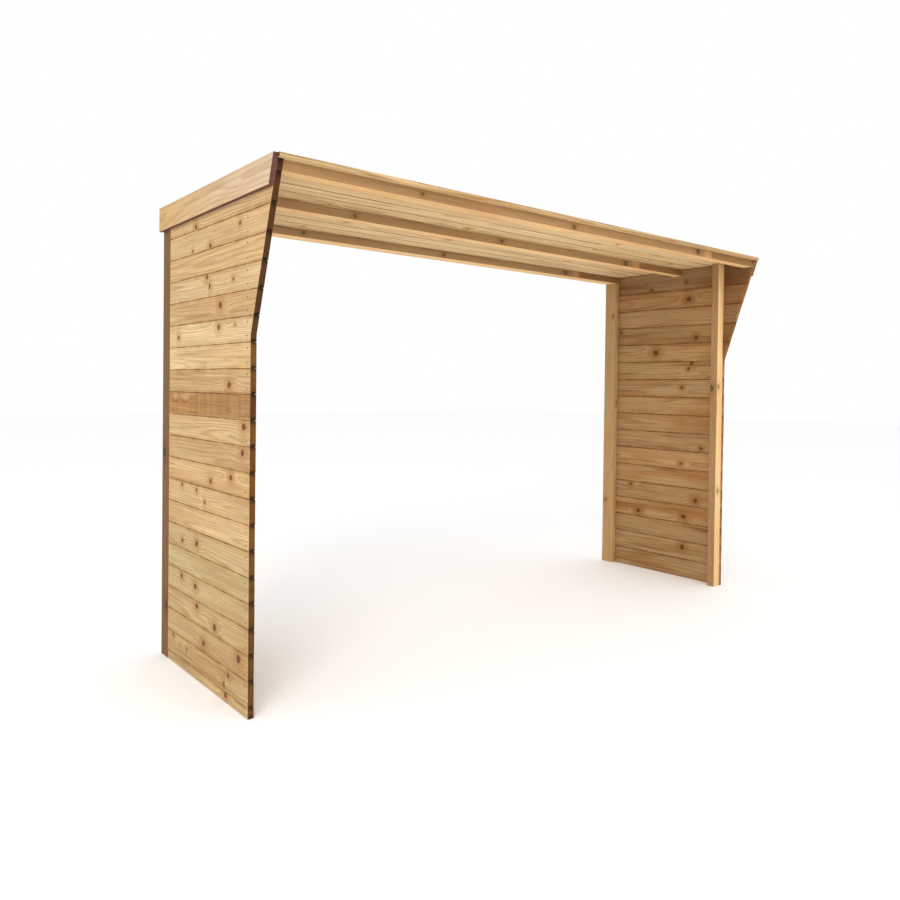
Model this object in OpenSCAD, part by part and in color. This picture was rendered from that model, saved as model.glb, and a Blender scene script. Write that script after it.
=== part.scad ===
// Open log store: two boarded side walls with slanted front edges, four posts,
// three purlins, and a roof of lengthwise boards between two barge boards.
// X runs along the store, Y from front to back, Z up. The origin is on the
// ground, in the middle of the roof's length and depth.

/* [Overall size] */
// Length over the outer faces of the side walls
store_l = 2400; // [1500:10:3000]
// Depth at the ground, from the walls' front edges to the backs of the rear posts
base_d = 680; // [400:5:900]
// How far the walls' slanted front edges reach out at the top
canopy_d = 150; // [60:5:260]
// Height of the roof's top face at its front edge
store_h = 1530; // [1100:10:2000]
// Height at which the walls' front edges start to slant
kink_h = 1065; // [700:10:1350]
// How much lower the roof is at the back than at the front
roof_fall = 8; // [0:1:60]

/* [Side walls] */
// Thickness of the wall boards
wall_t = 18; // [12:1:32]

/* [Posts] */
// Width of a rear post, along the store
rear_post_w = 45; // [30:1:100]
// Depth of a rear post, front to back
rear_post_d = 65; // [30:1:90]
// Width of a front post, along the store
front_post_w = 45; // [30:1:75]
// Depth of a front post, front to back
front_post_d = 36; // [25:1:60]
// Distance of the left front post behind the wall's upright front edge
left_post_setback = 105; // [0:5:110]

/* [Purlins] */
// Width of the front and middle purlins, front to back
purlin_w = 45; // [30:1:70]
// Height of a purlin
purlin_h = 30; // [18:1:60]
// Middle of the middle purlin, behind the walls' front edges
middle_purlin_y = 255; // [170:5:320]

/* [Roof] */
// Number of roof boards from front to back
roof_board_count = 11; // [7:1:14]
// Thickness of the roof boards
roof_board_t = 12; // [8:1:24]
// Gap between two roof boards
roof_joint = 1; // [0.5:0.5:6]
// Overhang of the roof past the walls' top front corners
front_lip = 12; // [0:1:30]
// Overhang of the roof past the rear posts
rear_lip = 6; // [0:1:30]

/* [Barge boards] */
// Height of a barge board
barge_h = 80; // [60:1:150]
// Thickness of a barge board
barge_t = 14; // [10:1:28]
// Distance of a barge board's front end behind the wall's front edge
barge_setback = 2; // [0:1:40]

/* [Hidden] */

left = -1;
right = 1;

roof_d = front_lip + canopy_d + base_d + rear_lip;
roof_front = -roof_d / 2;
roof_back = roof_d / 2;
wall_front = roof_front + front_lip + canopy_d;
post_back = wall_front + base_d;
rear_post_front = post_back - rear_post_d;

half_l = store_l / 2;
inner_half_l = half_l - wall_t;
roof_pitch = roof_d / roof_board_count;

// Shift of the slanted front edge towards the front for each millimetre of height
wall_top_front = roof_front + front_lip;
slant = canopy_d / (deck_z(wall_top_front) - kink_h);

front_purlin_front = slanted_y(deck_z(wall_top_front) - purlin_h);
middle_purlin_front = wall_front + middle_purlin_y - purlin_w / 2;

wall_color = "#d9b27c";
post_color = "#c9a06a";
purlin_color = "#b98b5a";
roof_color = "#cdb288";
barge_color = "#dcbb8a";

// Height of the roof's top face at depth y
function roof_z(y) = store_h - roof_fall * (y - roof_front) / roof_d;

// Height of the underside of the roof boards at depth y
function deck_z(y) = roof_z(y) - roof_board_t;

// Depth of the walls' slanted front edge at height z
function slanted_y(z) = wall_front - slant * (z - kink_h);

// Depth where the slanted front edge, moved back by a distance, meets the
// line that lies below the roof's top face by a drop
function slanted_end(back, drop) =
    (wall_front + back - slant * (roof_z(0) - drop - kink_h))
    / (1 - slant * roof_fall / roof_d);

// A side outline, in depth and height, made a solid from x to x + width
module slab(x, width) {
    translate([x, 0, 0])
        rotate([90, 0, 90])
            linear_extrude(width)
                children();
}

// Outline of a piece under the roof boards: its top follows the roof
module under_roof(y, depth, height) {
    polygon([
        [y, deck_z(y) - height],
        [y + depth, deck_z(y + depth) - height],
        [y + depth, deck_z(y + depth)],
        [y, deck_z(y)]
    ]);
}

// Outline of a post that stands on the ground and ends a drop below the deck
module post_outline(y, depth, drop) {
    polygon([
        [y, 0],
        [y + depth, 0],
        [y + depth, deck_z(y + depth) - drop],
        [y, deck_z(y) - drop]
    ]);
}

// Boarded wall, upright in front up to the kink and slanted forward above it
module side_wall(side) {
    x = side == left ? -half_l : inner_half_l;
    color(wall_color)
        slab(x, wall_t)
            polygon([
                [wall_front, 0],
                [rear_post_front, 0],
                [rear_post_front, deck_z(rear_post_front)],
                [wall_top_front, deck_z(wall_top_front)],
                [wall_front, kink_h]
            ]);
}

// Post on the wall's inner face, near its upright front edge
module front_post(side) {
    x = side == left ? -inner_half_l : inner_half_l - front_post_w;
    y = side == left ? wall_front + left_post_setback : wall_front;
    color(post_color)
        slab(x, front_post_w)
            post_outline(y, front_post_d, 0);
}

// Corner post behind the wall, flush with its outer face, under the rear purlin
module rear_post(side) {
    x = side == left ? -half_l : half_l - rear_post_w;
    color(post_color)
        slab(x, rear_post_w)
            post_outline(rear_post_front, rear_post_d, purlin_h);
}

// Purlin between the walls
module purlin(y) {
    color(purlin_color)
        slab(-inner_half_l, 2 * inner_half_l)
            under_roof(y, purlin_w, purlin_h);
}

// Rear purlin, laid over both rear posts and as deep as they are
module rear_purlin() {
    color(purlin_color)
        slab(-half_l, store_l)
            under_roof(rear_post_front, rear_post_d, purlin_h);
}

// One lengthwise roof board, counted from the front
module roof_board(i) {
    y = roof_front + (i - 1) * roof_pitch;
    depth = roof_pitch - (i < roof_board_count ? roof_joint : 0);
    color(roof_color)
        slab(-half_l, store_l)
            polygon([
                [y, deck_z(y)],
                [y + depth, deck_z(y + depth)],
                [y + depth, roof_z(y + depth)],
                [y, roof_z(y)]
            ]);
}

// Board on the wall's outer face that covers the ends of the roof boards
module barge_board(side) {
    x = side == left ? -half_l - barge_t : half_l;
    top_front = slanted_end(barge_setback, 0);
    bottom_front = slanted_end(barge_setback, barge_h);
    color(barge_color)
        slab(x, barge_t)
            polygon([
                [bottom_front, roof_z(bottom_front) - barge_h],
                [roof_back, roof_z(roof_back) - barge_h],
                [roof_back, roof_z(roof_back)],
                [top_front, roof_z(top_front)]
            ]);
}

side_wall(left);  // left_side_wall
side_wall(right);  // right_side_wall
front_post(left);  // left_front_post
front_post(right);  // right_front_post
rear_post(left);  // left_rear_post
rear_post(right);  // right_rear_post
purlin(front_purlin_front);  // front_purlin
purlin(middle_purlin_front);  // middle_purlin
rear_purlin();
barge_board(left);  // left_barge_board
barge_board(right);  // right_barge_board
for (i = [1:roof_board_count])
    roof_board(i);
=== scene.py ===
import bpy
import numpy as np
from mathutils import Matrix, Vector


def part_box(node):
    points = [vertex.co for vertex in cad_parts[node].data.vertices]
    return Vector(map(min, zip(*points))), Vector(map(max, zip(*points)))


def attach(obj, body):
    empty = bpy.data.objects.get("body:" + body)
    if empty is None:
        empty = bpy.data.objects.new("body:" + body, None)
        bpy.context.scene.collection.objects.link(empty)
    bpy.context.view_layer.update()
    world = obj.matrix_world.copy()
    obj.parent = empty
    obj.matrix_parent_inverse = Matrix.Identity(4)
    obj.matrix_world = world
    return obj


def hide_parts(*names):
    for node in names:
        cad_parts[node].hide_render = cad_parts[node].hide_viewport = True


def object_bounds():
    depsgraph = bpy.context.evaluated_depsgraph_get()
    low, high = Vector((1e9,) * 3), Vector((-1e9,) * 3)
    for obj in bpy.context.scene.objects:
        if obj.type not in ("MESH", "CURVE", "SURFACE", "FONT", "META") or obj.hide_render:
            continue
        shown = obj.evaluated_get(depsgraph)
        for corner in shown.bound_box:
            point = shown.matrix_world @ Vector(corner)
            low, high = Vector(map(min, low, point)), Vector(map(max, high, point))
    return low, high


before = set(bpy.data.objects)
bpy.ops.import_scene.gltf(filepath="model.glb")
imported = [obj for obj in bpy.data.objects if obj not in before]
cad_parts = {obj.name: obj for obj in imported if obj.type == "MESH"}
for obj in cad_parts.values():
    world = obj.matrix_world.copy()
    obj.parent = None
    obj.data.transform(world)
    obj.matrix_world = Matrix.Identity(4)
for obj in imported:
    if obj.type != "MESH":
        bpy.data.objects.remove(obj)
cadLow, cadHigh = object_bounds()
mm = 0.001
print("frame loaded:", len(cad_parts), "nodes")


def nodePoints(name):
    # The corner points of one node of the frame, as rows of x, y, z.
    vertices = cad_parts[name].data.vertices
    points = np.empty(len(vertices) * 3)
    vertices.foreach_get("co", points)
    return points.reshape(-1, 3)


# The outlines that every piece is cut to, read from the frame.
roofPrefix = "roof_board_"
roofNames = [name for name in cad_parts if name.startswith(roofPrefix)]
roofNames.sort(key=lambda name: int(name[len(roofPrefix):]))
roofFront = cadLow.y
roofBack = cadHigh.y
frontEdge = nodePoints(roofNames[0])
frontEdge = frontEdge[frontEdge[:, 1] < roofFront + mm, 2]
roofFrontTop = frontEdge.max()
roofThick = frontEdge.max() - frontEdge.min()
backEdge = nodePoints(roofNames[-1])
backEdge = backEdge[backEdge[:, 1] > roofBack - mm, 2]
roofSlope = (backEdge.max() - roofFrontTop) / (roofBack - roofFront)

wallCorners = nodePoints("left_side_wall")
wallLow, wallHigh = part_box("left_side_wall")
wallFront = wallCorners[wallCorners[:, 2] < mm, 1].min()
kinkHeight = wallCorners[abs(wallCorners[:, 1] - wallFront) < mm, 2].max()
wallSlant = (wallFront - wallLow.y) / (wallHigh.z - kinkHeight)


def roofHeight(y):
    # Top face of the roof: its height at the front edge plus the slope times the depth behind it.
    return roofFrontTop + roofSlope * (y - roofFront)


def deckHeight(y):
    # Underside of the roof boards: the roof's thickness below its top face.
    return roofHeight(y) - roofThick


def wallEdge(z):
    # Front edge of a side wall: upright below the kink, then forward by the slant times the height above it.
    return wallFront - wallSlant * np.maximum(z - kinkHeight, 0)


def fillProfile(corners, step):
    # Splits each side of a closed outline into equal parts no longer than step:
    # corner + share * (next - corner).
    corners = np.array(corners, float)
    sides = np.roll(corners, -1, axis=0) - corners
    counts = np.maximum(np.ceil(np.linalg.norm(sides, axis=1) / step).astype(int), 1)
    side = np.repeat(np.arange(len(corners)), counts)
    share = (np.arange(counts.sum()) - np.repeat(np.cumsum(counts) - counts, counts)) / counts[side]
    return corners[side] + share[:, None] * sides[side]


def roundedProfile(width, depth, radius, step=9 * mm, steps=3):
    # Rectangle with a quarter circle at each corner, counterclockwise:
    # corner centre + radius * (cos a, sin a).
    turn = np.linspace(0, np.pi / 2, steps + 1)
    angle = (np.arange(4)[:, None] * np.pi / 2 + np.pi + turn).ravel()
    farAcross = width - radius
    farThrough = depth - radius
    centres = [[radius, radius], [farAcross, radius], [farAcross, farThrough], [radius, farThrough]]
    centre = np.repeat(centres, steps + 1, axis=0)
    return fillProfile(centre + radius * np.stack([np.cos(angle), np.sin(angle)], axis=1), step)


def matchedProfile(cover, thick, look, grooved=True, tongued=True):
    # Board with a groove in its low edge and a tongue on its high edge, both half way through its thickness.
    # Both faces are chamfered at the joints. Through 0 is the outer face.
    gap = look["jointGap"] / 2
    outer = look["outerChamfer"]
    inner = look["innerChamfer"]
    middle = thick / 2
    tongue = look["tongueThick"] / 2
    tip = tongue * look["tongueTaper"]
    groove = tongue + look["tongueRoom"] / 2
    reach = look["tongueReach"]
    depth = reach + look["tongueRoom"]
    high = cover - gap
    corners = [[gap + outer, 0], [high - outer, 0], [high, outer]]
    if tongued:
        corners += [[high, middle - tongue], [high + reach, middle - tip]]
        corners += [[high + reach, middle + tip], [high, middle + tongue]]
    corners += [[high, thick - inner], [high - inner, thick], [gap + inner, thick], [gap, thick - inner]]
    if grooved:
        corners += [[gap, middle + groove], [gap + depth, middle + groove]]
        corners += [[gap + depth, middle - groove], [gap, middle - groove]]
    corners += [[gap, outer]]
    return fillProfile(corners, look["profileStep"])


def carryBoard(profile, start, end, spacing):
    # Profile carried along the grain: point (s, k) lies start[k] + s * (end[k] - start[k]) along, with s from
    # 0 to 1, and keeps the profile's own place across and through the board.
    count = int(np.ceil((end - start).max() / spacing)) + 1
    share = np.linspace(0, 1, count)[:, None]
    grid = np.empty((count, len(profile), 3))
    grid[..., 0] = start + share * (end - start)
    grid[..., 1:] = profile
    return grid


def boardFaces(count, around, flip):
    # Quads between neighbouring rings of the carried profile, and one flat face on each end.
    ring = np.arange(around)
    after = np.roll(ring, -1)
    base = np.arange(count - 1)[:, None] * around
    quads = np.stack([base + ring, base + after, base + around + after, base + around + ring], axis=-1)
    quads = quads.reshape(-1, 4)
    ends = np.stack([ring[::-1], (count - 1) * around + ring])
    if flip:
        quads = quads[:, ::-1]
        ends = ends[:, ::-1]
    corners = np.concatenate([quads.ravel(), ends.ravel()])
    sizes = np.concatenate([np.full(len(quads), 4), np.full(2, around)])
    return corners, sizes


def scatterKnots(rng, start, length, size, look):
    # Rows of along, sideways, radius, kind and whether on an edge: shared out evenly, then moved at random.
    count = rng.poisson(length / look["knotEvery"])
    along = start + (np.arange(count) + rng.uniform(*look["knotSpread"], count)) / max(count, 1) * length
    onEdge = rng.uniform(0, 1, count) < look["knotsOnEdge"]
    sideways = rng.uniform(*look["knotSpread"], count) * np.where(onEdge, size[1], size[0])
    radius = rng.uniform(*look["knotRadius"], count)
    return np.stack([along, sideways, radius, rng.uniform(0, 1, count), onEdge], axis=1)


def growBoard(rng, profile, start, end, look, flip, paint, knots=None, spacing=None):
    # One board in its own place: along, across and through, as a profile carried along the grain. It carries
    # where it lay in the tree, its nearest knot and its tint to the material.
    start = np.broadcast_to(start, len(profile)).astype(float)
    end = np.broadcast_to(end, len(profile)).astype(float)
    low = profile.min(axis=0)
    size = profile.max(axis=0) - low
    grid = carryBoard(profile, start, end, spacing or look["spacing"])
    corners, sizes = boardFaces(len(grid), len(profile), flip)
    points = grid.reshape(-1, 3)
    place = points[corners]
    middle = np.add.reduceat(place, np.cumsum(sizes) - sizes, axis=0) / sizes[:, None]

    # Where it lay in the tree: the pith runs beside one of its faces, and its start is anywhere along the
    # trunk.
    depth = rng.uniform(*look["pithDepth"])
    aside = rng.uniform(*look["pithAside"]) * size[0]
    pith = [aside, -depth if rng.uniform() < 0.5 else size[1] + depth]
    grain = points.copy()
    grain[:, 0] += rng.uniform(0, look["trunkLength"])
    grain[:, 1:] -= low + pith

    # From each face corner to the nearest knot of its face: along, sideways, the knot's radius and its kind.
    if knots is None:
        knots = scatterKnots(rng, start.min(), end.max() - start.min(), size, look)
    # Where none is near, a small one a metre away.
    knot = np.tile([1.0, 1.0, 1 * mm, 0.0], (len(corners), 1))
    if len(knots):
        knots = np.array(knots, float)
        outOfReach = 10  # metres, for a knot that lies on another face
        isEdge = abs(middle[:, 1] - low[0] - size[0] / 2) > size[0] / 2 - look["edgeBand"]
        away = abs(middle[:, :1] - knots[:, 0]) + outOfReach * (isEdge[:, None] != knots[:, 4])
        near = np.repeat(away.min(axis=1) < look["knotReach"], sizes)
        mine = knots[np.repeat(away.argmin(axis=1), sizes)[near]]
        sideways = np.where(mine[:, 4] > 0, place[near, 2] - low[1], place[near, 1] - low[0])
        knot[near] = np.column_stack([place[near, 0] - mine[:, 0], sideways - mine[:, 1], mine[:, 2:4]])

    tone = rng.uniform(*look["tone"])
    warm = rng.uniform(*look["warmth"])
    warmth = [tone, tone * (1 - look["warmGreen"] * warm), tone * (1 - warm), 0.0]
    tint = np.tile(warmth, (len(corners), 1))
    # The piece's paint: its tones, with painted light and shade.
    tint[:, :3] *= paint(place, np.repeat(middle, sizes, axis=0))
    tint[-2 * len(profile):, 3] = 1  # the corners of both ends show end grain

    # A slow wave along the board, sin(long) + share * sin(short), strongest in the middle of its width and
    # always towards its inside. The sway moves the middle of the board sideways.
    phase = rng.uniform(0, 2 * np.pi, 3)
    angle = points[:, 0] * look["waves"]
    shortShare = look["shortWave"]
    wave = np.sin(angle + phase[0]) + shortShare * np.sin(angle * look["shortWaves"] + phase[1])
    highest = 1 + shortShare
    half = (points[:, 1] - low[0]) / size[0] * 2 - 1
    inward = np.where(points[:, 2] - low[1] < size[1] / 2, 1, -1)
    sway = np.sin(angle * look["swayWaves"] + phase[2])
    points[:, 2] += inward * look["wave"] * (highest + wave) / (2 * highest) * (1 - half ** 2 / 2)
    points[:, 1] += look["sway"] * sway * (1 - half ** 2)
    return {"points": points, "corners": corners, "sizes": sizes, "grain": grain, "knot": knot, "tint": tint}


def joinBoards(name, boards, origin, axes, material, nodes, level=False):
    # Point = origin + along * axes[0] + across * axes[1] + through * axes[2]. A level piece keeps that place.
    # Any other is sheared to the roof: its height changes by the slope times the depth behind the front edge.
    local = np.concatenate([b["points"] for b in boards])
    points = np.array(origin) + local @ np.array(axes, float)
    if not level:
        points[:, 2] += roofSlope * (points[:, 1] - roofFront)
    shift = np.cumsum([0] + [len(b["points"]) for b in boards[:-1]])
    corners = np.concatenate([b["corners"] + s for b, s in zip(boards, shift)])
    sizes = np.concatenate([b["sizes"] for b in boards])

    mesh = bpy.data.meshes.new(name)
    mesh.vertices.add(len(points))
    mesh.vertices.foreach_set("co", points.ravel())
    mesh.loops.add(len(corners))
    mesh.loops.foreach_set("vertex_index", corners)
    mesh.polygons.add(len(sizes))
    mesh.polygons.foreach_set("loop_start", np.cumsum(sizes) - sizes)
    mesh.update(calc_edges=True)
    mesh.attributes.new("grain", "FLOAT_VECTOR", "POINT").data.foreach_set(
        "vector", np.concatenate([b["grain"] for b in boards]).ravel())
    for layer in ("knot", "tint"):
        mesh.attributes.new(layer, "FLOAT_COLOR", "CORNER").data.foreach_set(
            "color", np.concatenate([b[layer] for b in boards]).ravel())
    mesh.polygons.foreach_set("use_smooth", np.ones(len(sizes), bool))
    mesh.set_sharp_from_angle(angle=np.radians(woodLook["sharpAngle"]))
    mesh.materials.append(material)
    piece = bpy.data.objects.new(name, mesh)
    bpy.context.scene.collection.objects.link(piece)
    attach(piece, "root")
    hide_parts(*nodes)
    return piece


def isFlipped(axes):
    # Whether along, across and through make a left-handed set, so that the faces have to be turned.
    return np.linalg.det(np.array(axes, float)) < 0


def addNode(tree, kind, inputs=None, **settings):
    # Adds a shader node, sets its own values, and fills or links its inputs.
    made = tree.nodes.new("ShaderNode" + kind)
    for key, value in settings.items():
        setattr(made, key, value)
    for key, value in (inputs or {}).items():
        if isinstance(value, bpy.types.NodeSocket):
            tree.links.new(value, made.inputs[key])
        else:
            made.inputs[key].default_value = value
    return made


def maths(tree, operation, *values):
    # One Math node on two or three values or sockets.
    return addNode(tree, "Math", dict(enumerate(values)), operation=operation).outputs[0]


def remap(tree, value, low, high, toLow=0.0, toHigh=1.0, smooth=True):
    # Takes low to toLow and high to toHigh, and holds the value between them.
    kind = "SMOOTHSTEP" if smooth else "LINEAR"
    names = {"Value": value, "From Min": low, "From Max": high, "To Min": toLow, "To Max": toHigh}
    return addNode(tree, "MapRange", names, interpolation_type=kind).outputs["Result"]


def mixColour(tree, factor, first, second, blend="MIX"):
    # From the first colour at factor 0 to the second, or their blend, at 1.
    made = addNode(tree, "Mix", data_type="RGBA", blend_type=blend, clamp_factor=True)
    for key, value in ((0, factor), (6, first), (7, second)):  # the sockets that the colour mix uses
        if isinstance(value, bpy.types.NodeSocket):
            tree.links.new(value, made.inputs[key])
        else:
            made.inputs[key].default_value = value
    return made.outputs[2]


def stretchedNoise(tree, place, scale, detail=2.0, roughness=0.5):
    # Noise read at place * scale, with its own scale for along, across and through.
    scaled = addNode(tree, "VectorMath", {0: place, 1: scale}, operation="MULTIPLY").outputs[0]
    values = {"Vector": scaled, "Scale": 1.0, "Detail": detail, "Roughness": roughness}
    return addNode(tree, "TexNoise", values, noise_dimensions="3D")


def softwood(name, look):
    # Planed softwood. Rings are the distance from the pith, wandering slowly along the tree and lifted round
    # each knot. Fibres are noise drawn out along the grain.
    material = bpy.data.materials.new(name)
    material.use_nodes = True
    tree = material.node_tree
    tree.nodes.clear()
    place = addNode(tree, "Attribute", attribute_name="grain").outputs["Vector"]
    tint = addNode(tree, "Attribute", attribute_name="tint")
    knot = addNode(tree, "Attribute", attribute_name="knot")
    knotParts = addNode(tree, "SeparateColor", {"Color": knot.outputs["Color"]})
    knotAlong, knotAcross, knotRadius = (knotParts.outputs[i] for i in range(3))
    knotKind = knot.outputs["Alpha"]

    # How close the nearest knot is: 1 at its rim, fading with the square of the distance.
    shortAlong = maths(tree, "MULTIPLY", knotAlong, look["knotStretch"])
    flowSquare = maths(tree, "ADD", maths(tree, "MULTIPLY", shortAlong, shortAlong),
                       maths(tree, "MULTIPLY", knotAcross, knotAcross))
    radiusSquare = maths(tree, "MULTIPLY", knotRadius, knotRadius)
    flow = maths(tree, "DIVIDE", radiusSquare, maths(tree, "MAXIMUM", flowSquare, radiusSquare))
    fullWithin, noneBeyond = look["knotWindow"]
    window = remap(tree, maths(tree, "ABSOLUTE", knotAlong), noneBeyond, fullWithin)
    flow = maths(tree, "MULTIPLY", flow, window)

    wander = stretchedNoise(tree, place, look["wanderScale"], 1.5, 0.45).outputs["Color"]
    wander = addNode(tree, "VectorMath", {0: wander, 1: (0.5, 0.5, 0.5)}, operation="SUBTRACT").outputs[0]
    reach = look["wander"]
    wander = addNode(tree, "VectorMath", {0: wander, 1: (0, reach, reach)}, operation="MULTIPLY").outputs[0]
    bent = addNode(tree, "VectorMath", {0: place, 1: wander}, operation="ADD").outputs[0]
    bent = addNode(tree, "SeparateXYZ", {0: bent}).outputs
    across = maths(tree, "SUBTRACT", bent[1], maths(tree, "MULTIPLY", knotAcross, flow))
    radius = maths(tree, "SQRT", maths(tree, "ADD", maths(tree, "MULTIPLY", across, across),
                                       maths(tree, "MULTIPLY", bent[2], bent[2])))
    radius = maths(tree, "MULTIPLY_ADD", flow, look["knotLift"], radius)
    jag = stretchedNoise(tree, place, look["jagScale"], 2.0).outputs[0]
    rings = maths(tree, "MULTIPLY_ADD", jag, look["jag"], maths(tree, "DIVIDE", radius, look["ringWidth"]))
    ring = maths(tree, "FRACT", rings)
    lateStart, lateEnd = look["lateBand"]
    late = remap(tree, ring, lateStart, lateEnd)
    late = maths(tree, "MULTIPLY", late, remap(tree, ring, 1.0, lateEnd))
    late = maths(tree, "POWER", late, look["latePower"])

    fine = stretchedNoise(tree, place, look["fineScale"], 3.0, 0.6).outputs[0]
    streak = stretchedNoise(tree, place, look["streakScale"], 3.0, 0.55).outputs[0]
    cloud = stretchedNoise(tree, place, look["cloudScale"], 2.0).outputs[0]
    stain = stretchedNoise(tree, place, look["stainScale"], 4.0, 0.6).outputs[0]
    moss = stretchedNoise(tree, place, look["mossScale"], 3.0, 0.6).outputs[0]

    colour = mixColour(tree, maths(tree, "MULTIPLY", late, look["lateStrength"]), look["early"], look["late"])
    heartwood = remap(tree, cloud, *look["heartBand"], 0.0, look["heartStrength"])
    colour = mixColour(tree, heartwood, colour, look["heart"])
    inCloud = remap(tree, cloud, *look["stainCloudBand"], look["stainLeast"], 1.0)
    stain = maths(tree, "MULTIPLY", remap(tree, stain, *look["stainBand"]), inCloud)
    colour = mixColour(tree, maths(tree, "MULTIPLY", stain, look["stainStrength"]), colour, look["stain"])

    # Streaks and fibres darken by their full strength and lighten by part of it.
    darkest = 1 - look["streakStrength"]
    lightest = 1 + look["streakStrength"] * look["streakLight"]
    shade = remap(tree, streak, *look["streakBand"], darkest, lightest, False)
    darkest = 1 - look["fineStrength"]
    lightest = 1 + look["fineStrength"] * look["fineLight"]
    shade = maths(tree, "MULTIPLY", shade, remap(tree, fine, *look["fineBand"], darkest, lightest, False))
    colour = addNode(tree, "VectorMath", {0: colour, "Scale": shade}, operation="SCALE").outputs[0]
    mossy = remap(tree, moss, *look["mossBand"], 0.0, look["mossStrength"])
    colour = mixColour(tree, mossy, colour, look["moss"])

    # The knot itself: an uneven round patch with its own rings, a dark rim, and darker wood round it.
    uneven = stretchedNoise(tree, place, look["knotUnevenScale"], 2.0).outputs[0]
    alongSquare = maths(tree, "MULTIPLY", maths(tree, "MULTIPLY", knotAlong, knotAlong), look["knotLength"])
    trueSquare = maths(tree, "ADD", alongSquare, maths(tree, "MULTIPLY", knotAcross, knotAcross))
    away = maths(tree, "DIVIDE", maths(tree, "SQRT", trueSquare), knotRadius)
    ragged = look["knotUneven"]
    edgeShift = remap(tree, uneven, *look["knotUnevenBand"], -ragged, ragged, False)
    away = maths(tree, "ADD", away, edgeShift)
    inKnot = remap(tree, away, *look["knotEdge"])
    rim = maths(tree, "MULTIPLY", remap(tree, away, *look["rimBand"]), inKnot)
    rimStrength = remap(tree, knotKind, *look["kindBand"], look["rimLeast"], 1.0, False)
    rim = maths(tree, "MULTIPLY", rim, rimStrength)
    knotRings = maths(tree, "SINE", maths(tree, "MULTIPLY", away, look["knotRings"]))
    ringShade = remap(tree, knotRings, -1, 1, 0.0, look["knotRingShade"], False)
    heart = mixColour(tree, ringShade, look["knotLight"], look["knotDark"])
    pith = remap(tree, away, look["knotPithReach"], 0.0, 0.0, look["knotPith"])
    heart = mixColour(tree, pith, heart, look["knotDark"])
    heart = mixColour(tree, rim, heart, look["knotRim"])
    halo = maths(tree, "MULTIPLY", remap(tree, away, *look["haloBand"]), look["haloStrength"])
    colour = mixColour(tree, halo, colour, look["halo"])
    colour = mixColour(tree, inKnot, colour, heart)

    endFlag = tint.outputs["Alpha"]
    # The tint brings in each face's tone, with the painted light and shade of its piece.
    colour = mixColour(tree, 1.0, colour, tint.outputs["Color"], "MULTIPLY")
    endWood = mixColour(tree, 1.0, colour, look["endTint"], "MULTIPLY")
    colour = mixColour(tree, endFlag, colour, endWood)

    # Late wood and knots are smoother and stand a little proud. The knot's rim is a shallow crack.
    rough = remap(tree, late, 0, 1, look["roughness"], look["roughness"] - look["lateSmooth"], False)
    rough = maths(tree, "MULTIPLY_ADD", fine, look["fineRough"], rough)
    rough = maths(tree, "MULTIPLY_ADD", inKnot, -look["knotSmooth"], rough)
    height = maths(tree, "MULTIPLY", late, look["ridge"])
    height = maths(tree, "MULTIPLY_ADD", fine, look["fuzz"], height)
    height = maths(tree, "MULTIPLY_ADD", streak, look["fuzz"] * look["streakRidge"], height)
    height = maths(tree, "MULTIPLY_ADD", inKnot, look["ridge"] * look["knotRidge"], height)
    height = maths(tree, "MULTIPLY_ADD", rim, -look["ridge"] * look["rimRidge"], height)
    bump = addNode(tree, "Bump", {"Height": height, "Distance": 1.0, "Strength": 1.0})
    surface = {"Base Color": colour, "Roughness": rough, "Normal": bump.outputs[0]}
    surface["Specular IOR Level"] = look["specular"]
    shader = addNode(tree, "BsdfPrincipled", surface)
    output = addNode(tree, "OutputMaterial")
    tree.links.new(shader.outputs[0], output.inputs[0])
    return material


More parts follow.
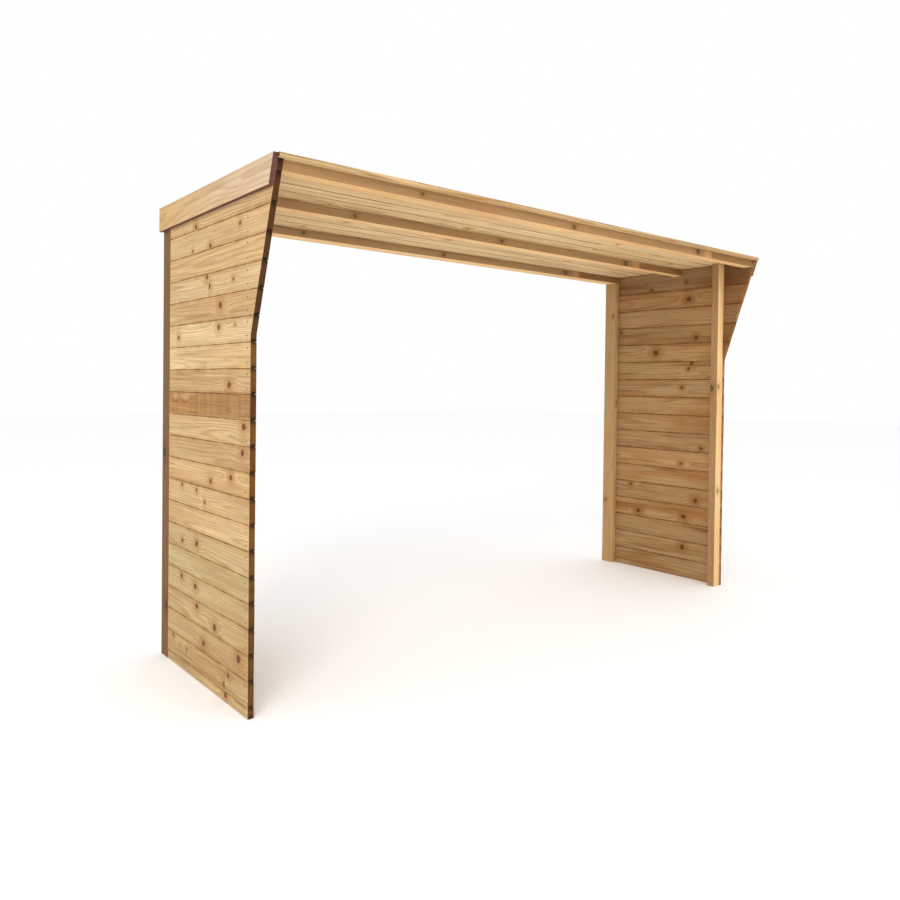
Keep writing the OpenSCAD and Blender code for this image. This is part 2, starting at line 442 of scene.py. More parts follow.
woodLook = {
    "early": (0.63, 0.42, 0.205, 1),
    "late": (0.42, 0.225, 0.08, 1),
    "heart": (0.50, 0.275, 0.11, 1),
    "stain": (0.30, 0.145, 0.052, 1),
    "moss": (0.40, 0.36, 0.17, 1),
    "knotLight": (0.30, 0.12, 0.032, 1),
    "knotDark": (0.13, 0.045, 0.012, 1),
    "knotRim": (0.09, 0.03, 0.009, 1),
    "halo": (0.40, 0.20, 0.068, 1),
    "endTint": (0.27, 0.21, 0.14, 1),
    "lateStrength": 0.55,
    "heartStrength": 0.45,
    "stainStrength": 0.25,
    "streakStrength": 0.2,
    "fineStrength": 0.16,
    "mossStrength": 0.16,
    "haloStrength": 0.6,
    "ringWidth": 5.5 * mm,
    "wander": 46 * mm,
    "wanderScale": (1.1, 5.0, 5.0),
    "jag": 0.9,
    "jagScale": (3.0, 34.0, 34.0),
    "fineScale": (14.0, 900.0, 900.0),
    "streakScale": (3.0, 190.0, 190.0),
    "cloudScale": (1.6, 9.0, 9.0),
    "stainScale": (1.7, 52.0, 52.0),
    "mossScale": (4.0, 14.0, 14.0),
    "lateBand": (0.25, 0.9),
    "latePower": 1.6,
    "heartBand": (0.42, 0.68),
    "stainBand": (0.5, 0.72),
    "stainCloudBand": (0.36, 0.58),
    "stainLeast": 0.25,
    "streakBand": (0.25, 0.75),
    "streakLight": 0.6,
    "fineBand": (0.3, 0.7),
    "fineLight": 0.5,
    "mossBand": (0.52, 0.74),
    "knotUneven": 0.22,
    "knotUnevenScale": (90, 90, 30),
    "knotUnevenBand": (0.2, 0.8),
    "knotLength": 0.75,  # under 1 draws the knot out along the grain
    "knotEdge": (1.05, 0.88),
    "rimBand": (0.55, 0.95),
    "rimLeast": 0.35,
    "kindBand": (0.1, 0.9),  # from a sound knot to a loose one
    "knotRings": 16.0,
    "knotRingShade": 0.5,
    "knotPith": 0.55,
    "knotPithReach": 0.5,
    "haloBand": (4.5, 0.9),
    "knotStretch": 0.42,
    "knotLift": 12 * mm,
    "knotWindow": (35 * mm, 95 * mm),
    "knotReach": 100 * mm,
    "knotEvery": 0.42,
    "knotRadius": (5 * mm, 11 * mm),
    "knotSpread": (0.15, 0.85),
    "knotsOnEdge": 0.0,
    "edgeBand": 0.1 * mm,
    "sideBand": 0.6 * mm,
    "pithDepth": (10 * mm, 55 * mm),
    "pithAside": (-0.1, 1.1),
    "trunkLength": 30,
    "tone": (0.93, 1.05),
    "warmth": (-0.04, 0.10),
    "warmGreen": 0.45,
    "ridge": 0.16 * mm,
    "fuzz": 0.18 * mm,
    "streakRidge": 1.5,
    "knotRidge": 1.2,
    "rimRidge": 1.6,
    "roughness": 0.7,
    "lateSmooth": 0.12,
    "fineRough": 0.12,
    "knotSmooth": 0.14,
    "specular": 0.16,
    "wave": 0.35 * mm,
    "sway": 0.3 * mm,
    "waves": 6.0,
    "shortWave": 0.5,
    "shortWaves": 2.7,
    "swayWaves": 1.4,
    "tongueTaper": 0.8,
    "profileStep": 12 * mm,
    "spacing": 22 * mm,
    "sharpAngle": 38,
}

wallLook = {
    **woodLook,
    # -1 is the left wall and 1 the right one
    "cover": {-1: 72.5 * mm, 1: 88.5 * mm},
    "lowestCover": {-1: 30 * mm, 1: 88.5 * mm},
    "topLeast": 15 * mm,
    "jointGap": 0.6 * mm,
    "outerChamfer": 1.5 * mm,
    "innerChamfer": 1.6 * mm,
    "tongueThick": 5.5 * mm,
    "tongueRoom": 1.4 * mm,
    "tongueReach": 6.5 * mm,
    "outerJoint": (0.74, 0.62, 0.48),
    "innerJoint": (0.60, 0.50, 0.40),
    "jointUneven": 0.35,
    "jointWaves": (31, 77),
    "jointShift": (5, 9),
    "early": (0.665, 0.46, 0.24, 1),
    # painted shade on the inner face under the roof, deeper towards the front
    "innerShadeTone": (0.68, 0.60, 0.53),
    "frontShadeTone": (0.60, 0.55, 0.51),
    "frontShadeBand": (50 * mm, 40 * mm),
    "footTone": (0.90, 0.92, 0.90),
    "footHeight": 0.5,
    # painted shade on the wood beside each joint
    "besideJointShadeReach": 11 * mm,
    "besideJointShadeMean": 1.5,
    "besideJointShadeTone": (0.80, 0.72, 0.62),
    "endTint": (0.23, 0.145, 0.055, 1),
    # the slanted front ends are darker: rougher end grain and painted shade
    "slantedEndShadeAndTone": (0.52, 0.48, 0.50),
    "slantedShare": 0.6,
    # painted shade in the gaps at the joints, on the ends
    "endGapShade": (0.22, 0.18, 0.14),
    "endGapShadeWidth": 3 * mm,
    "endRagged": 1.4 * mm,
    "knotEvery": 0.8,
    "knotRadius": (6 * mm, 12 * mm),
    "stainStrength": 0.5,
    "fineStrength": 0.26,
    "knotLight": (0.23, 0.09, 0.022, 1),
    "knotDark": (0.10, 0.034, 0.009, 1),
    # side and board, counted from 0 at the ground, with its own tone
    "ownTones": {
        (-1, 4): (0.98, 1.01, 0.96), (-1, 5): (0.94, 1.01, 0.98), (-1, 6): (1.0, 1.01, 0.98),
        (-1, 14): (1.18, 1.26, 1.34), (-1, 15): (1.16, 1.25, 1.36), (-1, 17): (1.03, 1.05, 1.08),
        (1, 11): (0.96, 0.96, 0.90), (1, 12): (1.06, 1.08, 1.04), (1, 13): (0.92, 0.88, 0.78),
        (1, 16): (0.88, 0.90, 0.98),
    },
    # depth and height in metres, and radius in millimetres
    "ownKnots": {
        -1: [
            (0.135, 1.418, 8), (-0.188, 1.382, 6), (0.021, 1.345, 8), (0.158, 1.345, 5), (0.044, 1.252, 8),
            (-0.146, 1.229, 5), (0.026, 1.223, 9), (-0.056, 1.160, 10), (-0.159, 1.097, 4),
            (-0.046, 1.095, 9), (0.274, 1.077, 8), (-0.123, 0.926, 10), (-0.222, 0.809, 11),
            (-0.215, 0.735, 10), (-0.139, 0.659, 9), (0.005, 0.634, 8), (0.234, 0.600, 6),
            (0.114, 0.595, 6), (0.049, 0.564, 6), (0.111, 0.428, 10), (0.229, 0.419, 7), (0.234, 0.303, 8),
            (0.118, 0.291, 9), (0.106, 0.232, 9), (-0.032, 0.199, 11), (-0.198, 0.152, 12),
            (0.051, 0.129, 10), (0.304, 0.092, 6), (-0.132, 0.084, 7), (0.187, 0.075, 5),
            (-0.103, 0.050, 8),
        ],
        1: [
            (-0.074, 1.367, 11), (0.112, 1.108, 14), (-0.090, 1.051, 12), (-0.117, 1.177, 9),
            (-0.059, 1.449, 6), (0.145, 1.428, 6), (-0.080, 1.026, 7), (-0.042, 0.934, 7),
            (0.332, 1.218, 5),
        ],
    },
    "ownKnotKind": 0.7,
    "randomBelow": {-1: 0.0, 1: 0.88},  # boards that start up to this height have random knots
    "roughBoard": (-1, 12),
    "roughStep": 4 * mm,
    "roughSpacing": 6 * mm,
    "roughTone": ((0.82, 0.66, 0.46), (0.72, 0.63, 0.51)),
    "roughTurn": (0.15, 0.25),
    "blotches": (0.10, 0.13, 0.12),
    "blotchWaves": (95, 23, 41),
    "ragged": 1.6 * mm,
    "raggedWaves": (610, 173),
    # distance in front of the wall's rear edge, half width and depth
    "lobes": [(52 * mm, 24 * mm, 26 * mm), (138 * mm, 44 * mm, 24 * mm), (196 * mm, 40 * mm, 9 * mm)],
    "lobeStrength": 0.85,
    "lobeSoft": 9 * mm,
    "rimWidth": 7 * mm,
    "rimShade": 0.28,
    "lowEdge": (4 * mm, 5 * mm),
    "lowEdgeStrength": 0.55,
}

rightWallLook = {
    **wallLook,
    "heart": (0.52, 0.26, 0.09, 1),
    "heartStrength": 0.75,
    "cloudScale": (2.4, 14.0, 14.0),
    "stainStrength": 0.9,
    "haloStrength": 0.85,
    "endTint": (0.62, 0.50, 0.34, 1),
    # less painted shade on this wall's front ends
    "slantedEndShadeAndTone": (0.8, 0.76, 0.7),
    "endGapShade": (0.6, 0.5, 0.4),
}


def wallBoards(side, seed, look):
    # Boards laid on edge one above the other, each cut in front to the wall's outline. The lowest is cut to
    # its own height. The top one is tapered to the roof: its height above its low edge times
    # (underside of the roof - low edge) / cover.
    rng = np.random.default_rng(seed)
    thick = wallHigh.x - wallLow.x
    axes = [[0, 1, 0], [0, 0, 1], [-side, 0, 0]]
    frontTop = deckHeight(wallLow.y)
    joints = np.arange(look["lowestCover"][side], frontTop - look["topLeast"], look["cover"][side])
    joints = np.concatenate([[0], joints, [frontTop]])
    kind = look["ownKnotKind"]
    own = np.array([(y, z, radius * mm, kind, 0) for y, z, radius in look["ownKnots"][side]])
    skin = look["edgeBand"]
    boards = []
    for index in range(len(joints) - 1):
        low = joints[index]
        cover = joints[index + 1] - low
        isTop = index == len(joints) - 2
        isRough = (side, index) == look["roughBoard"]
        profile = matchedProfile(cover, thick, look, index > 0, not isTop)
        if isRough:
            profile = fillProfile(profile, look["roughStep"])
        start = wallEdge(low + profile[:, 0]) + rng.uniform(0, look["endRagged"])
        ownTone = look["ownTones"].get((side, index), (1, 1, 1))

        def paint(place, middle):
            # The inside has painted shade under the roof, browner and more so in front. Joints are darker,
            # and the wood beside them has painted shade, unevenly so: 1 + strength * sin(long) * sin(short).
            # The foot is damp.
            reach = look["jointGap"] + look["outerChamfer"]
            inner = middle[:, 2] > thick / 2
            joint = (middle[:, 1] < reach) | (middle[:, 1] > cover - reach)
            joint &= (middle[:, 2] > skin) & (middle[:, 2] < thick - skin)
            isEnd = abs(middle[:, 2:] - thick / 2) < thick / 4
            along = place[:, :1]
            up = place[:, 1:2]

            # Painted shade on the inner face, deeper in front.
            frontStart, frontFade = look["frontShadeBand"]
            front = np.clip((wallFront + frontStart - along) / frontFade, 0, 1)
            innerShadeTone = look["innerShadeTone"] * (1 + front * (np.array(look["frontShadeTone"]) - 1))
            tones = np.where(inner[:, None], innerShadeTone, 1.0) * ownTone

            longWave, shortWave = look["jointWaves"]
            longShift, shortShift = look["jointShift"]
            uneven = look["jointUneven"] * np.sin(along * longWave + longShift * low)
            uneven = 1 + uneven * np.sin(along * shortWave + shortShift * low)
            shade = np.where(inner[:, None], look["innerJoint"], look["outerJoint"]) * uneven
            tones = np.where(joint[:, None], tones * shade, tones)
            # Painted shade on the wood beside each joint, uneven along it.
            fromJoint = np.minimum(up, cover - up) - reach
            besideJointShade = np.clip(1 - fromJoint / look["besideJointShadeReach"], 0, 1) * (look["besideJointShadeMean"] - uneven)
            tones = tones * (1 - np.where(joint[:, None], 0, besideJointShade) * (1 - np.array(look["besideJointShadeTone"])))
            damp = np.clip(1 - (up + low) / look["footHeight"], 0, 1)
            tones = tones * (1 + damp * (np.array(look["footTone"]) - 1))
            if isRough:
                tones = np.where((inner | joint)[:, None], tones, roughPaint(place, cover, look))

            # Slanted front ends: darker end grain with painted shade.
            isSlanted = low > kinkHeight - look["slantedShare"] * cover
            tones = tones * np.where(isEnd & isSlanted, look["slantedEndShadeAndTone"], 1.0)
            # Ends at the joints: painted shade in the gaps.
            atJoint = (up < look["endGapShadeWidth"]) | (up > cover - look["endGapShadeWidth"])
            return tones * np.where(isEnd & atJoint, look["endGapShade"], 1.0)

        knots = None
        if low > look["randomBelow"][side]:
            mine = own[(own[:, 1] >= low) & (own[:, 1] < low + cover)]
            knots = mine - [0, low, 0, 0, 0]
        spacing = look["roughSpacing"] if isRough else None
        board = growBoard(rng, profile, start, wallHigh.y, look, isFlipped(axes), paint, knots, spacing)
        if isTop:
            board["points"][:, 1] *= (deckHeight(board["points"][:, 0]) - low) / cover
        board["points"][:, 1] += low
        boards.append(board)
    name = "left" if side < 0 else "right"
    origin = [wallLow.x if side < 0 else -wallLow.x, 0, 0]
    return joinBoards(name + "_wall_boards", boards, origin, axes, materials[name + "_wall"],
                      [name + "_side_wall"], level=True)


def roughPaint(place, cover, look):
    # The rough board's brown, redder at the rear, with blotches. Pale lobes hang into it from the board
    # above: each is half an ellipse, depth * sqrt(1 - ((y - middle) / half width) ^ 2), with a darker rim and
    # a ragged edge. Its low edge is pale too.
    rear, front = np.array(look["roughTone"])
    behind = wallHigh.y - place[:, 0]
    turnStart, turnLength = look["roughTurn"]
    share = np.clip((behind - turnStart) / turnLength, 0, 1)[:, None]
    tones = rear + share * (front - rear)
    short, bend, long = look["blotchWaves"]
    blotches = np.sin(behind * short + 2 * np.sin(behind * bend)) * np.sin(behind * long + 1)
    tones = tones * (1 + blotches[:, None] * np.array(look["blotches"]))
    short, long = look["raggedWaves"]
    ragged = look["ragged"] * np.sin(behind * short) * np.sin(behind * long + 1)

    depth = np.zeros(len(place))
    for middle, halfWidth, reach in look["lobes"]:
        inside = np.clip(1 - ((behind - middle) / halfWidth) ** 2, 0, None)
        depth = np.maximum(depth, reach * np.sqrt(inside))
    below = cover - place[:, 1] + ragged
    pale = look["lobeStrength"] * np.clip((depth - below) / look["lobeSoft"] + 0.5, 0, 1) * (depth > 0)
    rimWidth = look["rimWidth"]
    rim = np.clip(1 - abs(depth - below + rimWidth) / rimWidth, 0, 1) * (depth > 0)
    lowStart, lowFade = look["lowEdge"]
    foot = np.clip(1 - (place[:, 1] - lowStart - 3 * ragged) / lowFade, 0, 1) * look["lowEdgeStrength"]
    tones = tones * (1 - look["rimShade"] * rim[:, None])
    return tones + np.maximum(pale, foot)[:, None] * (1 - tones)


battenLook = {
    **woodLook,
    "early": (0.60, 0.37, 0.175, 1),
    "knotLight": (0.24, 0.155, 0.05, 1),
    "knotDark": (0.11, 0.08, 0.024, 1),
    "knotRim": (0.085, 0.065, 0.02, 1),
    "edgeBand": 1 * mm,
}

postLook = {
    **battenLook,
    "arris": 2.0 * mm,
    "knotEvery": 0.9,
    "knotRadius": (6 * mm, 10 * mm),
    "knotsOnEdge": 0.5,
    "mossStrength": 0.3,
    "pithDepth": (5 * mm, 30 * mm),
    "tone": (0.96, 1.0),
    # painted shade on the side faces, deepest on the strip flush with the wall, and painted light on the
    # front posts' front and back faces
    "sideShadeTone": (0.69, 0.68, 0.70),
    "rearSideShadeTone": (0.84, 0.84, 0.80),
    "outerShadeTone": (0.35, 0.31, 0.25),
    "faceLightTone": (1.40, 1.55, 1.70),
    "rearTone": (0.98, 1.02, 1.02),
    # along, sideways, radius, kind and whether on a side face
    "ownKnots": {
        "left_rear_post": [
            (0.695, 0.045, 0.013, 0.9, 1), (0.175, 0.020, 0.013, 0.9, 1), (1.16, 0.03, 0.008, 0.5, 0),
        ],
        "right_front_post": [
            (0.93, 0.030, 0.012, 0.9, 1), (0.94, 0.012, 0.010, 0.5, 0), (0.45, 0.02, 0.008, 0.4, 0),
        ],
    },
}


def post(name, seed, look):
    # Rounded rectangle carried straight up from the ground. Its top is cut to the roof's slope: height at its
    # front edge plus the slope times the depth behind that.
    rng = np.random.default_rng(seed)
    low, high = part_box(name)
    size = high - low
    width = size.x
    axes = [[0, 0, 1], [1, 0, 0], [0, 1, 0]]
    profile = roundedProfile(width, size.y, look["arris"])
    corners = nodePoints(name)
    frontTop = corners[corners[:, 1] < low.y + mm, 2].max()
    end = frontTop + roofSlope * profile[:, 1]

    def paint(place, middle):
        # Painted shade on its side faces, deepest where it is flush with the wall's outer face, and painted
        # light on the front posts' front and back faces.
        isRear = "rear" in name
        across = middle[:, 1:2]
        onSide = (across < look["sideBand"]) | (across > width - look["sideBand"])
        outer = abs(across + low.x) > -wallLow.x - mm
        sides = np.where(outer, look["outerShadeTone"], look["rearSideShadeTone"] if isRear else look["sideShadeTone"])
        return np.where(onSide, sides, look["rearTone"] if isRear else look["faceLightTone"])

    board = growBoard(rng, profile, 0.0, end, look, isFlipped(axes), paint, look["ownKnots"].get(name))
    return joinBoards(name + "_wood", [board], [low.x, low.y, 0], axes, materials["posts"],
                      [name], level=True)


purlinLook = {
    **battenLook,
    "arris": 1.8 * mm,
    # painted shade on the upright faces and painted light underneath
    "frontShadeTone": (0.67, 0.665, 0.675),
    "underLightTone": (1.62, 1.74, 1.76),
    "mossStrength": 0.2,
    "patchTone": (1.30, 1.20, 1.10),
    "endTone": (0.74, 0.64, 0.52),
    # distances from the right end: of the patch's two ends, and of each knot with its radius
    "patch": (0.33, 0.39),
    "knots": [(0.44, 12 * mm), (1.22, 8 * mm), (1.9, 6 * mm)],
    "knotHeight": (0.4, 0.6),
    "knotKind": 0.9,
}


def purlin(name, seed, look):
    # Rounded rectangle carried along the store and sheared to the roof's slope.
    rng = np.random.default_rng(seed)
    low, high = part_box(name)
    corners = nodePoints(name)
    height = np.ptp(corners[corners[:, 1] < low.y + mm, 2])
    width = high.y - low.y
    axes = [[1, 0, 0], [0, 1, 0], [0, 0, 1]]
    profile = roundedProfile(width, height, look["arris"])
    near, far = look["patch"]
    kind = look["knotKind"]
    knots = [(high.x - away, height * rng.uniform(*look["knotHeight"]), radius, kind, 1)
             for away, radius in look["knots"]]

    def paint(place, middle):
        # Painted shade on its upright faces, with a pale patch and a darker stretch near the right end, and
        # painted light underneath.
        upright = (middle[:, 1] < look["sideBand"]) | (middle[:, 1] > width - look["sideBand"])
        away = high.x - place[:, 0]
        isPatch = (away > near) & (away < far)
        tones = np.where(isPatch[:, None], look["patchTone"], 1.0)
        tones = np.where((away <= near)[:, None], look["endTone"], tones)
        return np.where(upright[:, None], tones * look["frontShadeTone"], look["underLightTone"])

    board = growBoard(rng, profile, low.x, high.x, look, isFlipped(axes), paint, knots)
    bottom = deckHeight(roofFront) - height
    return joinBoards(name + "_wood", [board], [0, low.y, bottom], axes, materials["purlins"],
                      [name])


roofLook = {
    **woodLook,
    "jointGap": 1.0 * mm,
    "outerChamfer": 1.0 * mm,
    "innerChamfer": 2.2 * mm,
    "tongueThick": 4.0 * mm,
    "tongueRoom": 1.2 * mm,
    "tongueReach": 5.0 * mm,
    "jointShade": (0.42, 0.34, 0.25),
    "early": (0.60, 0.425, 0.22, 1),
    "late": (0.30, 0.165, 0.06, 1),
    "lateStrength": 0.8,
    "streakStrength": 0.32,
    "fineStrength": 0.25,
    # painted light underneath and painted shade on the front edge
    "underLightTone": (1.50, 1.60, 1.70),
    "edgeShadeTone": (0.74, 0.79, 0.90),
    "stainStrength": 0.55,
    "stainScale": (2.4, 90.0, 90.0),
    "ringWidth": 6.5 * mm,
    "knotEvery": 1.4,
    "wave": 0.25 * mm,
    "spacing": 25 * mm,
}


def roofBoard(name, seed, look, isFirst, isLast):
    # Grooved and tongued profile carried along the store, with its tongue towards the back, so that no light
    # comes through the joints.
    rng = np.random.default_rng(seed)
    low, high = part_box(name)
    axes = [[1, 0, 0], [0, 1, 0], [0, 0, -1]]
    cover = high.y - low.y + look["jointGap"] * (0 if isLast else 1)
    profile = matchedProfile(cover, roofThick, look, not isFirst, not isLast)
    reach = look["innerChamfer"] + look["jointGap"]
    skin = look["edgeBand"]

    def paint(place, middle):
        # Painted light underneath, darker in the joints, and painted shade on the front edge.
        joint = (middle[:, 1] < reach) & (not isFirst) | (middle[:, 1] > cover - reach) & (not isLast)
        joint &= (middle[:, 2] > skin) & (middle[:, 2] < roofThick - skin)
        tones = np.where(middle[:, 2:] > roofThick - skin, look["underLightTone"], 1.0)
        tones = np.where(isFirst & (middle[:, 1:2] < skin), look["edgeShadeTone"], tones)
        return tones * np.where(joint[:, None], look["jointShade"], 1.0)

    board = growBoard(rng, profile, low.x, high.x, look, isFlipped(axes), paint)
    return joinBoards(name + "_wood", [board], [0, low.y, roofFrontTop], axes, materials["roof_boards"],
                      [name])


bargeLook = {
    **woodLook,
    "arris": 1.6 * mm,
    "inset": 0.6 * mm,
    "early": (0.58, 0.475, 0.35, 1),
    "late": (0.43, 0.29, 0.165, 1),
    "heartStrength": 0.2,
    "stainStrength": 0.0,
    "ringWidth": 10 * mm,
    "wander": 80 * mm,
    "wanderScale": (1.5, 4.0, 4.0),
    "pithDepth": (25 * mm, 40 * mm),
    "pithAside": (0.3, 0.7),
    "knotEvery": 30.0,
    "lateStrength": 0.55,
    "endTint": (0.20, 0.11, 0.14, 1),
    # painted shade on the low edge
    "lowShadeTone": (0.30, 0.17, 0.20),
    "rearTone": (1.03, 0.85, 0.57),
    "wave": 0.2 * mm,
}

rightBargeLook = {**bargeLook, "endTint": (0.34, 0.20, 0.10, 1)}


def bargeBoard(side, seed, look):
    # Rounded rectangle on edge, carried back over the ends of the roof boards. Its front end is parallel to
    # the wall's slanted edge: front corner + (height - distance from the low edge) * slant.
    rng = np.random.default_rng(seed)
    name = ("left" if side < 0 else "right") + "_barge_board"
    low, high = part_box(name)
    corners = nodePoints(name)
    height = np.ptp(corners[corners[:, 1] > high.y - mm, 2])
    thick = high.x - low.x - look["inset"]
    axes = [[0, 1, 0], [0, 0, 1], [-side, 0, 0]]
    profile = roundedProfile(height, thick, look["arris"])
    start = low.y + (height - profile[:, 0]) * wallSlant

    def paint(place, middle):
        # Yellower towards the rear, and painted shade on its low edge.
        share = np.clip((place[:, :1] - low.y) / (high.y - low.y), 0, 1)
        tones = 1 + share * (np.array(look["rearTone"]) - 1)
        return np.where((middle[:, 1] < look["sideBand"])[:, None], look["lowShadeTone"], tones)

    board = growBoard(rng, profile, start, high.y, look, isFlipped(axes), paint)
    outer = low.x + look["inset"] if side < 0 else high.x - look["inset"]
    return joinBoards(name + "_wood", [board], [outer, 0, roofFrontTop - height], axes, materials[name],
                      [name])


nailLook = {
    "radius": 2.6 * mm,
    "proud": 0.35 * mm,
    "deep": 1.0 * mm,
    "sides": 12,
    "dome": ((0.62, 0.92), (0.94, 0.55), (1.0, 0.2)),  # rings from the top: share of the radius and height
    "sharpAngle": 50,
    "colour": (0.20, 0.15, 0.11, 1),
    "rust": (0.10, 0.045, 0.02, 1),
    "rustScale": (400, 400, 400),
    "rustBand": (0.4, 0.62),
    "roughness": (0.4, 0.7),
    "roughnessBand": (0.3, 0.7),
    "metallic": 0.6,
    "behindEdge": 22 * mm,
    "belowTop": 0.15,
    "wallPlaces": (0.24, 0.76),
    "roofPlaces": (0.25, 0.75),
    "heightMiss": 3,  # millimetres that a nail may be off its place
    "sideMiss": 2,
}


def nailHeads(name, spots, normal, look):
    # Round heads on one face: spot + r * (cos a * right + sin a * up) + h * normal, with a domed outline of r
    # and h.
    spots = np.array(spots, float)
    normal = np.array(normal, float)
    right = np.cross(normal, [0.3, 0.5, 0.8])  # any direction that isn't the normal
    right /= np.linalg.norm(right)
    up = np.cross(normal, right)
    sides = look["sides"]
    turn = np.arange(sides) / sides * 2 * np.pi
    dome = np.array(look["dome"] + ((1.0, 0.0),))
    ringRadius = dome[:, :1] * look["radius"]
    ringHeight = dome[:, 1:] * look["proud"]
    ringHeight[-1] = -look["deep"]
    rings = ringRadius[..., None] * (np.cos(turn)[:, None] * right + np.sin(turn)[:, None] * up)
    rings = (rings + ringHeight[..., None] * normal).reshape(-1, 3)
    head = np.concatenate([rings, [look["proud"] * normal, -look["deep"] * normal]])
    points = (spots[:, None] + head).reshape(-1, 3)

    ring = np.arange(sides)
    after = np.roll(ring, -1)
    base = np.arange(3)[:, None] * sides
    quads = np.stack([base + ring, base + sides + ring, base + sides + after, base + after], axis=-1)
    quads = quads.reshape(-1, 4)
    tip = np.stack([ring, after, np.full(sides, 4 * sides)], axis=1)
    root = np.stack([3 * sides + after, 3 * sides + ring, np.full(sides, 4 * sides + 1)], axis=1)
    shift = (np.arange(len(spots)) * len(head))[:, None, None]
    faces = [(part + shift).reshape(-1, part.shape[1]).tolist() for part in (quads, tip, root)]
    mesh = bpy.data.meshes.new(name)
    mesh.from_pydata(points.tolist(), [], faces[0] + faces[1] + faces[2])
    mesh.polygons.foreach_set("use_smooth", np.ones(len(mesh.polygons), bool))
    mesh.set_sharp_from_angle(angle=np.radians(look["sharpAngle"]))
    mesh.materials.append(materials["nails"])
    piece = bpy.data.objects.new(name, mesh)
    bpy.context.scene.collection.objects.link(piece)
    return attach(piece, "root")


def driveNails(seed, look):
    # Two nails in each wall board near the wall's upright front edge, and two in each roof board over each
    # wall.
    wallMiddle = -wallLow.x - (wallHigh.x - wallLow.x) / 2
    highMiss = look["heightMiss"]
    sideMiss = look["sideMiss"]
    roofSpots = []
    for side, sideName in ((-1, "left"), (1, "right")):
        rng = np.random.default_rng(seed + side)
        cover = wallLook["cover"][side]
        joints = np.arange(wallLook["lowestCover"][side], wallHigh.z - look["belowTop"], cover)
        heights = (joints[:, None] + cover * np.array(look["wallPlaces"])).ravel()
        heights += rng.uniform(-highMiss, highMiss, len(heights)) * mm
        depths = wallFront + look["behindEdge"] + rng.uniform(-sideMiss, sideMiss, len(heights)) * mm
        spots = np.stack([np.full(len(heights), -side * wallLow.x), depths, heights], axis=1)
        nailHeads(sideName + "_wall_nails", spots, (side, 0, 0), look)
        for roofName in roofNames[1:]:
            low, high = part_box(roofName)
            depths = low.y + (high.y - low.y) * np.array(look["roofPlaces"])
            depths = depths + rng.uniform(-sideMiss, sideMiss, 2) * mm
            for y in depths:
                x = side * wallMiddle + rng.uniform(-sideMiss, sideMiss) * mm
                roofSpots.append((x, y, roofHeight(y)))
    nailHeads("roof_nails", roofSpots, (0, 0, 1), look)


def nailSteel(name, look):
    # Dull zinc with brown stains.
    material = bpy.data.materials.new(name)
    material.use_nodes = True
    tree = material.node_tree
    tree.nodes.clear()
    place = addNode(tree, "TexCoord").outputs["Object"]
    stain = stretchedNoise(tree, place, look["rustScale"], 3.0, 0.6).outputs[0]
    colour = mixColour(tree, remap(tree, stain, *look["rustBand"]), look["colour"], look["rust"])
    rough = remap(tree, stain, *look["roughnessBand"], *look["roughness"])
    surface = {"Base Color": colour, "Roughness": rough, "Metallic": look["metallic"]}
    shader = addNode(tree, "BsdfPrincipled", surface)
    output = addNode(tree, "OutputMaterial")
    tree.links.new(shader.outputs[0], output.inputs[0])
    return material


materials = {
    "left_wall": softwood("left_wall_softwood", wallLook),
    "right_wall": softwood("right_wall_softwood", rightWallLook),
    "posts": softwood("post_softwood", postLook),
    "purlins": softwood("purlin_softwood", purlinLook),
    "roof_boards": softwood("roof_softwood", roofLook),
    "left_barge_board": softwood("left_barge_softwood", bargeLook),
    "right_barge_board": softwood("right_barge_softwood", rightBargeLook),
    "nails": nailSteel("nail_steel", nailLook),
}
print("materials made:", len(materials))

# Each piece has a seed of its own, so that a change to one leaves the others as they are.
wallBoards(-1, 11, wallLook)
wallBoards(1, 12, rightWallLook)
print("walls boarded")
postNames = ["left_front_post", "right_front_post", "left_rear_post", "right_rear_post"]
for index, postName in enumerate(postNames):
    post(postName, 21 + index, postLook)
for index, purlinName in enumerate(["front_purlin", "middle_purlin", "rear_purlin"]):
    purlin(purlinName, 31 + index, purlinLook)
print("posts and purlins set")
for index, roofName in enumerate(roofNames):
    roofBoard(roofName, 41 + index, roofLook, index == 0, index == len(roofNames) - 1)
bargeBoard(-1, 61, bargeLook)
bargeBoard(1, 62, rightBargeLook)
print("roof laid")

driveNails(71, nailLook)
print("nails driven")


studio = {
    "floorSize": 40.0,
    "floorColour": (0.97, 0.97, 0.97, 1),
    "floorRoughness": 0.9,
    "worldColour": (1.0, 1.0, 1.0, 1),
    "worldStrength": 1.0,
    "lights": {
        # place, aim, size, watts, colour
        "key_softbox": ((-4.5, -3.5, 4.2), (-0.3, 0, 0.7), 3.0, 150, (1.0, 0.97, 0.93)),
        "low_fill": ((1.0, -4.5, 0.6), (0.2, 0, 0.9), 3.0, 60, (1.0, 0.96, 0.9)),
    },
}


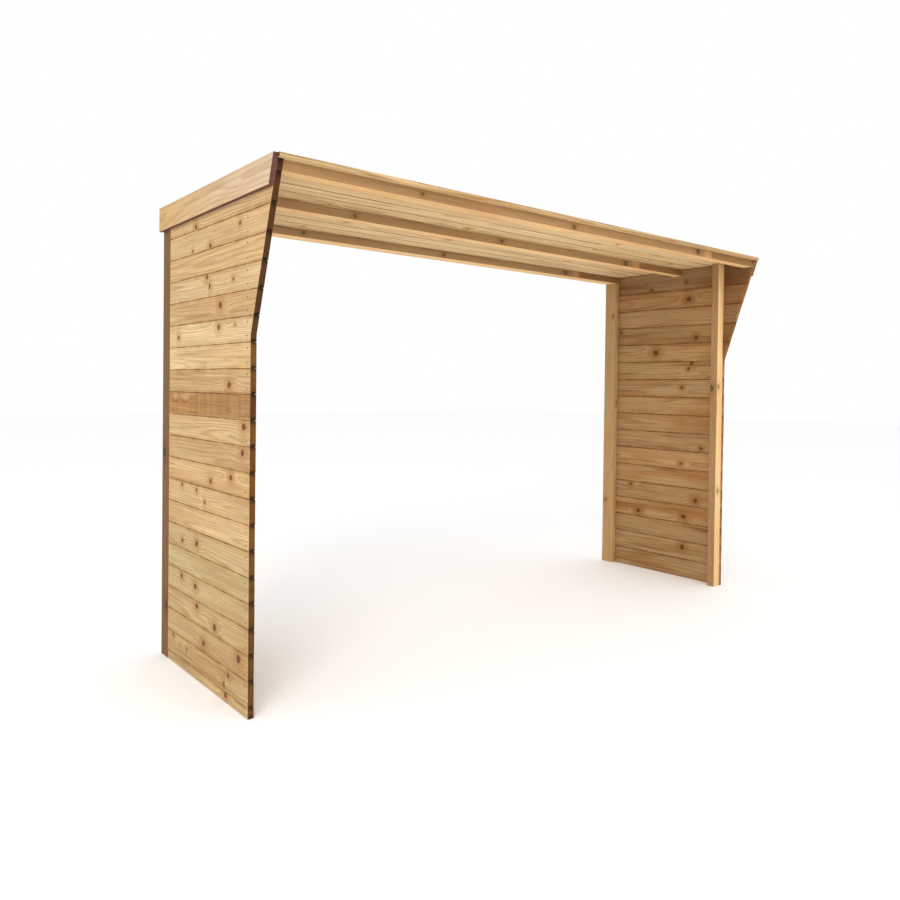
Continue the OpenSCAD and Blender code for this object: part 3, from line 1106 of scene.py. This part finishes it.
def makeStudio(look):
    # Plain pale floor, an even white surround and two large soft lights.
    half = look["floorSize"] / 2
    mesh = bpy.data.meshes.new("floor")
    corners = [(-half, -half, 0), (half, -half, 0), (half, half, 0), (-half, half, 0)]
    mesh.from_pydata(corners, [], [(0, 1, 2, 3)])
    floor = bpy.data.objects.new("floor", mesh)
    bpy.context.scene.collection.objects.link(floor)
    material = bpy.data.materials.new("floor_paint")
    material.use_nodes = True
    shader = material.node_tree.nodes["Principled BSDF"]
    shader.inputs["Base Color"].default_value = look["floorColour"]
    shader.inputs["Roughness"].default_value = look["floorRoughness"]
    mesh.materials.append(material)
    world = bpy.data.worlds.new("surround")
    world.use_nodes = True
    background = world.node_tree.nodes["Background"]
    background.inputs["Color"].default_value = look["worldColour"]
    background.inputs["Strength"].default_value = look["worldStrength"]
    bpy.context.scene.world = world
    for name, (place, aim, size, watts, colour) in look["lights"].items():
        lamp = bpy.data.lights.new(name, "AREA")
        lamp.shape = "DISK"
        lamp.size = size
        lamp.energy = watts
        lamp.color = colour
        holder = bpy.data.objects.new(name, lamp)
        turn = Vector(np.array(aim) - np.array(place)).to_track_quat("-Z", "Y")
        holder.matrix_world = Matrix.Translation(place) @ turn.to_matrix().to_4x4()
        bpy.context.scene.collection.objects.link(holder)


cameraLook = {
    "place": (-2.137, -2.249, 0.934),
    "yaw": 39.72,  # degrees: from straight ahead towards the right, then up, then round its own view
    "pitch": -0.87,
    "roll": 0.69,
    "lens": 30.96,
    "shiftY": -0.0595,
}


def makeCamera(look):
    # A level camera looks along +Y before it is turned.
    camera = bpy.data.cameras.new("camera")
    camera.lens = look["lens"]
    camera.shift_y = look["shiftY"]
    camera.dof.use_dof = False
    holder = bpy.data.objects.new("camera", camera)
    turn = Matrix.Rotation(-np.radians(look["yaw"]), 4, "Z")
    turn = turn @ Matrix.Rotation(np.radians(90 + look["pitch"]), 4, "X")
    turn = turn @ Matrix.Rotation(np.radians(look["roll"]), 4, "Z")
    holder.matrix_world = Matrix.Translation(look["place"]) @ turn
    bpy.context.scene.collection.objects.link(holder)
    bpy.context.scene.camera = holder


makeStudio(studio)
makeCamera(cameraLook)
bpy.context.scene.view_settings.view_transform = "Standard"
print("studio and camera ready")
